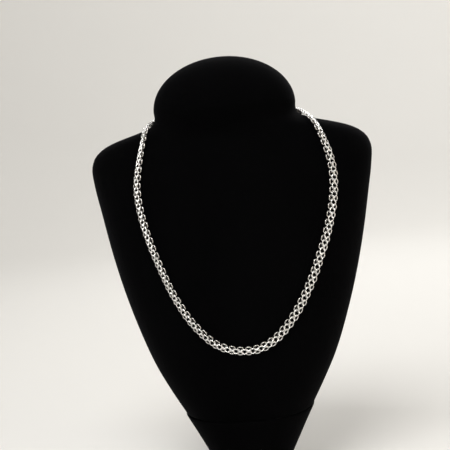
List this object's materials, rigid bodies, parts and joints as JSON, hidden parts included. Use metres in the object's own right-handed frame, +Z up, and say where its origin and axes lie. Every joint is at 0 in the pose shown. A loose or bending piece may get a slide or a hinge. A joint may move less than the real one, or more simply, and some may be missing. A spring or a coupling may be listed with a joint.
{
  "type": "bismarck chain on neck bust",
  "caption": "Woven silver neck chain with rows of interlinked oval links, closed by a plain clasp and worn on a black velvet neck bust.",
  "frame": {"origin": "on the surface that the bust stands on, under the middle of its foot", "axes": "+Z up, -Y towards the viewer in front of the chest, +X to the viewer's right"},
  "size_m": [0.1716, 0.0928, 0.251],
  "materials": {
    "silver": "polished silver",
    "velvet": "short black velvet"
  },
  "bodies": {
    "root": {"bust": "velvet", "bust_foot": "velvet", "clasp": "silver", "chain_01": "silver", "chain_02": "silver", "chain_03": "silver", "chain_04": "silver", "chain_05": "silver", "chain_06": "silver", "chain_07": "silver", "chain_08": "silver", "chain_09": "silver", "chain_10": "silver", "chain_11": "silver", "chain_12": "silver", "chain_13": "silver", "chain_14": "silver", "chain_15": "silver", "chain_16": "silver", "chain_17": "silver", "chain_18": "silver", "chain_19": "silver", "chain_20": "silver"}
  },
  "joints": []
}
